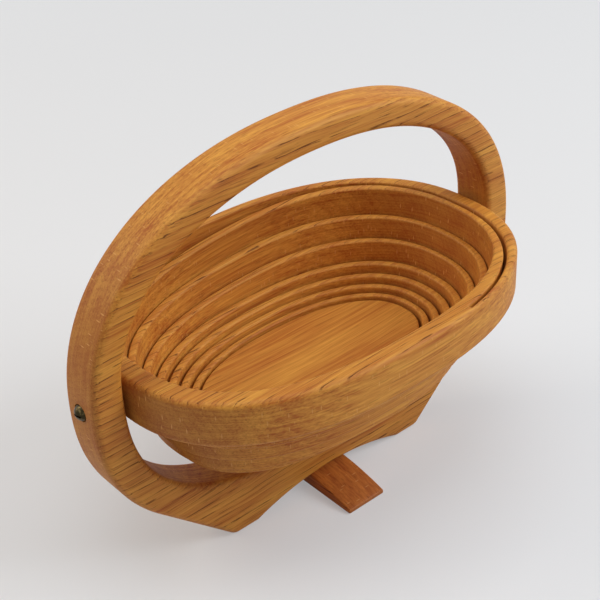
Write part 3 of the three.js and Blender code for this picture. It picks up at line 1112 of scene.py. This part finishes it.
    def strip(self, length: int) -> bpy.types.Object:
        """Model one length of the strip.

        Args:
            length: 0 for the length that leaves the rim, then one for each half turn.

        Returns:
            The dressed piece, dropped into its place in the open basket.
        """
        start = self.kerf_start if length == 0 else (length - 1) * TURN / 2
        end = self.strip_end if length == self.strip_lengths else length * TURN / 2
        rows = [self.strip_section(angle) for angle in self.angles(start, end)]
        piece = skin_over(f"oak_strip_{length + 1:02d}", rows, rows_closed=False)
        self.shop.finish(piece, self.shop.basket_to_board, self.shop.oak, Slot.OAK)
        for vertex in piece.data.vertices:
            vertex.co.z -= self.drop_at(length, vertex.co.x)
        return piece

    def rim_top_depth(self, inset: float) -> float:
        """How far the rounded edge lies below the rim's top face at an inset."""
        short = max(self.rim_edge_round - inset, 0)
        return self.rim_edge_round - math.sqrt(self.rim_edge_round ** 2 - short ** 2)

    def rim_section(self, angle: float) -> list[Vector]:
        """Draw the section of the rim.

        Where the saw enters, the rounded edge runs straight into the sawn wall.

        Args:
            angle: where along the first turn of the kerf.

        Returns:
            The closed section.
        """
        thickness = self.shop.thickness
        rounded = edge_round(self.rim_edge_round, self.round_steps)
        inner = self.kerf_inset(angle) - self.kerf_width / 2
        crest = inner - self.sawn_edge_round
        upper = [(min(inset, crest), max(depth, self.rim_top_depth(min(inset, crest))))
                 for inset, depth in rounded]
        lower = [(inset, thickness - depth) for inset, depth in reversed(rounded)]
        sawn = [(inner - back, max(depth, self.rim_top_depth(inner - back)))
                for back, depth in self.sawn_profile()]
        walls = upper + lower + [(inset + self.lean_at(depth), depth) for inset, depth in reversed(sawn)]
        return [self.place(angle, inset, depth) for inset, depth in walls]

    def rim(self) -> bpy.types.Object:
        """Model the rim, with the step that the spiral leaves in it and the screws' blind holes.

        Returns:
            The dressed piece.
        """
        rows = [self.rim_section(angle) for angle in self.angles(self.kerf_start, self.kerf_start + TURN)]
        piece = skin_over("oak_rim", rows, rows_closed=True)
        for end in End:
            saw_out(piece, self.screw_hole(end))
        self.shop.finish(piece, self.shop.basket_to_board, self.shop.oak, Slot.OAK)
        return piece

    def screw_hole(self, end: End) -> bpy.types.Object:
        """Make the cutter for the blind hole in one end of the rim.

        Args:
            end: the end.

        Returns:
            The cutter.
        """
        bottom = self.rim_half_length - self.screw_bite
        clear_selection()
        bpy.ops.mesh.primitive_cylinder_add(
            vertices=self.screw_hole_sides, radius=self.screw_hole_radius, depth=2 * self.screw_bite,
            location=(end.value * (bottom + self.screw_bite), 0, self.shop.pivot_height),
            rotation=(0, TURN / 4, 0))
        return bpy.context.object

    def floor(self) -> bpy.types.Object:
        """Model the floor, the oval that the last turn of the kerf leaves.

        Returns:
            The dressed piece, dropped into its place in the open basket.
        """
        angles = self.angles(self.strip_end, self.strip_end + TURN)
        rows = [[self.place(angle, self.strip_outer(angle) + back + self.lean_at(depth), depth)
                 for angle in angles] for back, depth in self.sawn_profile()]
        piece = skin_over("oak_floor", rows, rows_closed=False)
        self.shop.finish(piece, self.shop.basket_to_board, self.shop.oak, Slot.OAK)
        for vertex in piece.data.vertices:
            vertex.co.z -= self.drops[-1]
        return piece

    def build(self) -> None:
        """Model every piece of the basket board, and hang the rim and the floor on their bodies."""
        rim = self.rim()
        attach(rim, "rim")
        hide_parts("rim")
        report(rim)
        for length in range(self.strip_lengths + 1):
            strip = self.strip(length)
            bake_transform(strip)
            if length < self.strip_lengths:
                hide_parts(f"spiral_strip_{length + 1:02d}")
            report(strip)
        floor = self.floor()
        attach(floor, "floor")
        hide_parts("basket_floor")
        report(floor)


@dataclass
class Stand:
    """The oval frame, which is handle and stand, with the foot bar under its arch."""

    shop: Workshop
    opening_half_length: float = 92.1 * MM
    opening_top_rise: float = 66.4 * MM
    opening_bottom_drop: float = 63.7 * MM
    opening_widest_rise: float = 5.2 * MM
    opening_fullness: tuple[float, float] = (2.16, 2.67)
    end_wall: float = 13.5 * MM
    handle_wall: float = 11.5 * MM
    widest_drop: float = 2.4 * MM
    fullness: float = 2.24
    foot_outer_reach: float = 50.9 * MM
    foot_inner_reach: float = 38.8 * MM
    arch_rise: float = 7.2 * MM
    foot_corner_round: float = 2 * MM
    corner_steps: int = 6
    edge_round: float = 3 * MM
    wall_facing: float = 0.1
    face_facing: float = 0.9
    round_steps: int = 6
    outline_steps: int = 220
    arch_steps: int = 36
    pivot_hole_radius: float = 2 * MM
    counterbore_radius: float = 3.5 * MM
    counterbore_depth: float = 0.7 * MM
    hole_sides: int = 48
    foot_hole_radius: float = 2.1 * MM
    foot_hole_depth: float = 9.3 * MM
    foot_hole_sides: int = 32
    bar_gap: float = 0.3 * MM
    bar_tip_height: float = 1.79 * MM
    bar_edge: float = 0.6 * MM
    bar_edge_steps: int = 3
    bar_edge_angle: float = math.radians(30)
    bar_hole_radius: float = 4.1 * MM
    bar_hole_rim: float = 1.2 * MM
    bar_hole_cone: float = 2.0 * MM

    @property
    def half_length(self) -> float:
        """Half of the frame's length."""
        return self.opening_half_length + self.end_wall

    @property
    def arch_radius(self) -> float:
        """The radius of the arch between the feet."""
        return (self.foot_inner_reach ** 2 + self.arch_rise ** 2) / (2 * self.arch_rise)

    def curve(self, angle: float) -> Vector:
        """Find a point of the frame's outside curve.

        Args:
            angle: where along the curve.

        Returns:
            Its X and its height above the table.
        """
        half_height = self.opening_top_rise + self.handle_wall + self.widest_drop
        x, z = oval_point(angle, self.half_length, (half_height,) * 2, (self.fullness,) * 2)
        return Vector((x, z + self.shop.pivot_height - self.widest_drop))

    def side_touch(self) -> float:
        """Find where the straight flank of the foot touches the outside curve, by halving.

        Returns:
            The angle of that point on the right side.
        """
        corner = Vector((self.foot_outer_reach, 0))
        small = 1e-4
        halvings = 50

        def turns_past(angle: float) -> float:
            """Give on which side of the curve's tangent the foot lies, as the sign of a product.

            Args:
                angle: where along the curve.

            Returns:
                The product, 0 where the tangent meets the foot.
            """
            along = self.curve(angle + small) - self.curve(angle - small)
            away = self.curve(angle) - corner
            return along.x * away.y - along.y * away.x

        low, high = -TURN / 4 + 2 * small, -2 * small
        rising = turns_past(high) > turns_past(low)
        for _ in range(halvings):
            middle = (low + high) / 2
            if (turns_past(middle) > 0) == rising:
                high = middle
            else:
                low = middle
        return low

    def outside(self) -> list[Vector]:
        """Draw the right half of the outside: half the arch, the foot with its round, flank and oval.

        Returns:
            X and height of the points, from the middle of the arch up to the top of the handle.
        """
        half_angle = math.asin(self.foot_inner_reach / self.arch_radius)
        outline = []
        for step in range(self.arch_steps // 2 + 1):
            angle = half_angle * step / (self.arch_steps // 2)
            height = self.arch_radius * (math.cos(angle) - 1) + self.arch_rise
            outline.append(Vector((self.arch_radius * math.sin(angle), max(height, 0))))
        touch = self.side_touch()
        corner = Vector((self.foot_outer_reach, 0))
        up_flank = (self.curve(touch) - corner).normalized() * self.foot_corner_round
        along_foot = Vector((-self.foot_corner_round, 0))
        for step in range(self.corner_steps + 1):
            share = step / self.corner_steps
            outline.append(corner + along_foot * (1 - share) ** 2 + up_flank * share ** 2)
        angles = even_angles(touch, TURN / 4, self.fullness, self.outline_steps)
        return outline + [self.curve(angle) for angle in angles]

    def opening(self) -> list[Vector]:
        """Draw the right half of the opening.

        Returns:
            X and height of the points, from the top down to the bottom.
        """
        reaches = (self.opening_top_rise - self.opening_widest_rise,
                   self.opening_bottom_drop + self.opening_widest_rise)
        middle = self.shop.pivot_height + self.opening_widest_rise
        angles = even_angles(-TURN / 4, TURN / 4, self.opening_fullness[0], self.outline_steps)
        points = [oval_point(angle, self.opening_half_length, reaches, self.opening_fullness)
                  for angle in angles]
        return [Vector((x, z + middle)) for x, z in reversed(points)]

    def frame(self) -> bpy.types.Object:
        """Model the frame: half of its front face, mirrored, drawn out to the board's thickness and rounded.

        Returns:
            The dressed piece, with its rounded edges and screw holes.
        """
        front = -self.shop.thickness / 2
        half = [Vector((max(point.x, 0), front, point.y)) for point in self.outside() + self.opening()]
        piece = name_piece(ring_of(half, filled=True), "oak_frame")
        mirror = piece.modifiers.new("other_half", "MIRROR")
        mirror.merge_threshold = MIRROR_WELD_REACH
        bpy.ops.object.modifier_apply(modifier=mirror.name)
        bpy.ops.object.mode_set(mode="EDIT")
        bpy.ops.mesh.select_all(action="SELECT")
        bpy.ops.mesh.extrude_region_move(TRANSFORM_OT_translate={"value": (0, self.shop.thickness, 0)})
        turn_faces_out()
        select_edges(piece, self.is_long_edge)
        bpy.ops.mesh.bevel(offset=self.edge_round, segments=self.round_steps, clamp_overlap=False)
        turn_faces_out()
        bpy.ops.object.mode_set(mode="OBJECT")
        for end in End:
            saw_out(piece, self.pivot_hole(end))
        hole_top = self.arch_rise + self.foot_hole_depth
        saw_out(piece, turned("foot_hole", [(self.foot_hole_radius, 0), (self.foot_hole_radius, hole_top)],
                              self.foot_hole_sides))
        self.shop.finish(piece, self.shop.frame_to_board, self.shop.oak, Slot.OAK)
        return piece

    def is_long_edge(self, edge: bmesh.types.BMEdge) -> bool:
        """Whether an edge runs along the front or back face and has a wall beside it."""
        facings = sorted(abs(face.normal.y) for face in edge.link_faces)
        return facings[0] < self.wall_facing and facings[-1] > self.face_facing

    def pivot_hole(self, end: End) -> bpy.types.Object:
        """Make the cutter for a pivot screw's hole and the counterbore for its head.

        Args:
            end: the end of the frame.

        Returns:
            The cutter.
        """
        seat = self.half_length - self.counterbore_depth
        outside = self.half_length + self.end_wall
        cutter = turned("pivot_hole", [(self.pivot_hole_radius, self.opening_half_length - self.end_wall / 2),
                                       (self.pivot_hole_radius, seat), (self.counterbore_radius, seat),
                                       (self.counterbore_radius, outside)], self.hole_sides)
        cutter.data.transform(Matrix.Rotation(end.value * TURN / 4, 4, "Y"))
        cutter.data.transform(Matrix.Translation((0, 0, self.shop.pivot_height)))
        return cutter

    def foot_bar(self) -> bpy.types.Object:
        """Model the foot bar, whose top is the arc that was sawn out under the arch.

        Returns:
            The dressed piece, turned out across the frame.
        """
        half = self.shop.thickness / 2
        sag = self.arch_radius - math.sqrt(self.arch_radius ** 2 - half ** 2)
        centre = self.arch_rise - sag - self.bar_gap - self.arch_radius
        tip_angle = math.acos((self.bar_tip_height - centre) / self.arch_radius)
        tip = self.arch_radius * math.sin(tip_angle)
        outline = [Vector((-half, -tip, 0)), Vector((-half, tip, 0))]
        for step in range(self.arch_steps + 1):
            angle = tip_angle * (1 - 2 * step / self.arch_steps)
            height = centre + self.arch_radius * math.cos(angle)
            outline.append(Vector((-half, self.arch_radius * math.sin(angle), height)))
        piece = name_piece(ring_of(outline, filled=True), "oak_foot_bar")
        bpy.ops.object.mode_set(mode="EDIT")
        bpy.ops.mesh.select_all(action="SELECT")
        bpy.ops.mesh.extrude_region_move(TRANSFORM_OT_translate={"value": (2 * half, 0, 0)})
        turn_faces_out()
        select_edges(piece, lambda edge: edge.calc_face_angle(0) > self.bar_edge_angle)
        bpy.ops.mesh.bevel(offset=self.bar_edge, segments=self.bar_edge_steps, clamp_overlap=False)
        turn_faces_out()
        bpy.ops.object.mode_set(mode="OBJECT")
        cone_end = self.bar_hole_rim + self.bar_hole_cone
        saw_out(piece, turned("bar_hole", [(self.bar_hole_radius, -self.bar_hole_rim),
                                           (self.bar_hole_radius, self.bar_hole_rim),
                                           (self.foot_hole_radius, cone_end),
                                           (self.foot_hole_radius, self.arch_rise + self.bar_hole_rim)],
                              self.hole_sides))
        # The foot bar takes the darker copy of the oak, whose darkness is painted shade.
        self.shop.finish(piece, self.shop.bar_to_board, self.shop.painted_shade_oak, Slot.OAK_END)
        return piece

    def build(self) -> None:
        """Model the frame and the foot bar and hang them on their bodies."""
        frame_piece = self.frame()
        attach(frame_piece, "stand")
        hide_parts("frame")
        report(frame_piece)
        bar = self.foot_bar()
        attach(bar, "foot")
        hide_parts("foot_bar")
        report(bar)


@dataclass
class Screws:
    """The two slotted pivot screws and the countersunk foot screw."""

    shop: Workshop
    stand: Stand
    board: BasketBoard
    shank_radius: float = 1.7 * MM
    bite: float = 3 * MM
    head_radius: float = 3.2 * MM
    head_height: float = 2.4 * MM
    head_proud: float = 2 * MM
    tip_share: float = 0.75
    tip_length_share: float = 0.25
    head_back_share: float = 0.97
    slot_width: float = 0.9 * MM
    slot_depth: float = 0.9 * MM
    slot_length_share: float = 3
    dome_steps: int = 10
    sides: int = 48
    foot_head_radius: float = 3.8 * MM
    foot_shank_radius: float = 1.8 * MM
    foot_recess: float = 0.5 * MM
    foot_rim_height: float = 0.4 * MM
    foot_cone_height: float = 2 * MM
    foot_reach: float = 9 * MM
    foot_face_share: float = 0.95
    foot_bevel_share: float = 1.2

    def cut_slot(self, piece: bpy.types.Object, head_radius: float, height: float) -> None:
        """Saw the slot across a screw's head.

        Args:
            piece: the screw, upright.
            head_radius: the radius of its head.
            height: where the face of the head lies.
        """
        clear_selection()
        length = self.slot_length_share * head_radius
        bpy.ops.mesh.primitive_cube_add(size=1, location=(0, 0, height),
                                        scale=(self.slot_width, length, 2 * self.slot_depth))
        saw_out(piece, bpy.context.object)

    def pivot_screw(self, end: End) -> bpy.types.Object:
        """Model one pivot screw.

        Args:
            end: the end of the pivot axis that it holds.

        Returns:
            The dressed piece.
        """
        top = self.stand.half_length + self.head_proud
        seat = top - self.head_height
        tip = self.board.rim_half_length - self.bite
        dome = (self.head_radius ** 2 + self.head_height ** 2) / (2 * self.head_height)
        open_angle = math.asin(self.head_radius / dome)
        profile = [(self.shank_radius * self.tip_share, tip),
                   (self.shank_radius, tip + self.shank_radius * self.tip_length_share),
                   (self.shank_radius, seat), (self.head_radius * self.head_back_share, seat)]
        for step in range(self.dome_steps):
            angle = open_angle * (1 - step / self.dome_steps)
            profile.append((dome * math.sin(angle), top - dome * (1 - math.cos(angle))))
        piece = turned(f"pivot_screw_{end.name.lower()}_brass", profile, self.sides)
        self.cut_slot(piece, self.head_radius, top)
        piece.data.transform(Matrix.Rotation(end.value * TURN / 4, 4, "Y"))
        piece.data.transform(Matrix.Translation((0, 0, self.shop.pivot_height)))
        smooth(piece)
        self.shop.dress(piece, self.shop.brass, Slot.BRASS)
        return piece

    def foot_screw(self) -> bpy.types.Object:
        """Model the countersunk screw that the foot bar turns on.

        Returns:
            The dressed piece.
        """
        rim = self.foot_recess + self.foot_rim_height
        cone = rim + self.foot_cone_height
        profile = [(self.foot_head_radius * self.foot_face_share, self.foot_recess),
                   (self.foot_head_radius, self.foot_recess * self.foot_bevel_share),
                   (self.foot_head_radius, rim), (self.foot_shank_radius, cone),
                   (self.foot_shank_radius, self.stand.arch_rise + self.foot_reach)]
        piece = turned("foot_screw_brass", profile, self.sides)
        self.cut_slot(piece, self.foot_head_radius, self.foot_recess)
        smooth(piece)
        self.shop.dress(piece, self.shop.brass, Slot.BRASS)
        return piece

    def build(self) -> None:
        """Model the screws and hang them on their bodies."""
        for end in End:
            screw = self.pivot_screw(end)
            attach(screw, "rim")
            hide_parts(f"pivot_screw_{end.name.lower()}")
            report(screw)
        foot = self.foot_screw()
        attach(foot, "stand")
        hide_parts("foot_screw")
        report(foot)


@dataclass(frozen=True)
class SoftBox:
    """A square soft lamp. Its size is the length of a side, its power is in watts, its colour is sRGB hex."""

    name: str
    place: tuple[float, float, float]
    size: float
    power: float
    colour: str

    def hang(self, aim: Vector) -> None:
        """Hang the lamp at its place.

        Args:
            aim: the point that it shines at.
        """
        light = bpy.data.lights.new(self.name, "AREA")
        light.color = linear_colour(self.colour)[:3]
        light.size = self.size
        light.energy = self.power
        lamp = bpy.data.objects.new(self.name, light)
        lamp.location = self.place
        lamp.rotation_euler = (aim - Vector(self.place)).to_track_quat("-Z", "Y").to_euler()
        bpy.context.scene.collection.objects.link(lamp)


@dataclass
class Studio:
    """The paper floor, the soft lamps, the pale room and the camera."""

    camera_place: tuple[float, float, float] = (-0.28067, -0.33841, 0.37485)
    yaw: float = -0.685
    pitch: float = 0.582
    roll: float = -0.051
    focal_pixels: float = 1346.9
    picture_pixels: float = 600
    sensor: float = 36.0
    nearest: float = 0.01
    floor_size: float = 6.0
    lamp_aim: tuple[float, float, float] = (0, 0, 0.08)
    lamps: tuple[SoftBox, ...] = (
        SoftBox("soft_box_front_right", (0.81, -0.81, 0.88), 0.9, 14, "EEF6FF"),
        SoftBox("soft_box_above", (0, 0, 1.48), 1.1, 9.8, "EEF6FF"),
        SoftBox("soft_box_back_left", (-0.81, 0.81, 0.88), 0.9, 7.6, "FFF6EA"),
    )
    fill: str = "FFC68C"
    fill_strength: float = 0.1

    def camera(self) -> None:
        """Set the camera at the photograph's viewpoint."""
        back = Vector((math.sin(self.yaw) * math.cos(self.pitch), -math.cos(self.yaw) * math.cos(self.pitch),
                       math.sin(self.pitch)))
        level = Vector((0, 0, 1)).cross(back).normalized()
        up = back.cross(level)
        right = math.cos(self.roll) * level + math.sin(self.roll) * up
        tilted_up = -math.sin(self.roll) * level + math.cos(self.roll) * up
        turn = Matrix((right, tilted_up, back)).transposed().to_4x4()
        lens = bpy.data.cameras.new("camera")
        lens.lens = self.focal_pixels / self.picture_pixels * self.sensor
        lens.sensor_width = self.sensor
        lens.clip_start = self.nearest
        camera = bpy.data.objects.new("camera", lens)
        camera.matrix_world = Matrix.Translation(self.camera_place) @ turn
        bpy.context.scene.collection.objects.link(camera)
        bpy.context.scene.camera = camera

    def floor(self) -> None:
        """Lay the paper floor."""
        clear_selection()
        bpy.ops.mesh.primitive_plane_add(size=self.floor_size, location=(0, 0, 0))
        paper = name_piece(bpy.context.object, "studio_floor")
        paper.data.materials.append(StudioPaper().build())

    def world(self) -> None:
        """Surround the scene with a faint warm fill light, and with walls that the eye sees as pale."""
        world = bpy.data.worlds.new("soft_room")
        sheet = NodeSheet(world)
        fill = sheet.add("Background", {"Color": linear_colour(self.fill), "Strength": self.fill_strength})
        wall = sheet.add("Background", {"Color": linear_colour(StudioPaper.glow)})
        either = sheet.add("MixShader", {0: sheet.looked_at(), 1: fill.outputs[0], 2: wall.outputs[0]})
        sheet.add("OutputWorld", {"Surface": either.outputs[0]})
        bpy.context.scene.world = world

    def build(self) -> None:
        """Set up everything around the object."""
        self.camera()
        self.floor()
        for lamp in self.lamps:
            lamp.hang(Vector(self.lamp_aim))
        self.world()
        bpy.context.scene.view_settings.view_transform = "Standard"


def report(piece: bpy.types.Object) -> None:
    """Log one finished piece with its size."""
    size = ", ".join(f"{side / MM:.1f}" for side in piece.dimensions)
    log.info("%s: %d faces, %s mm", piece.name, len(piece.data.polygons), size)


def main() -> None:
    logging.basicConfig(level=logging.INFO, format="%(name)s %(message)s")
    shop = Workshop()
    stand = Stand(shop)
    stand.build()
    board = BasketBoard(shop)
    board.build()
    Screws(shop, stand, board).build()
    Studio().build()
    clear_selection()


if __name__ == "__main__":
    main()
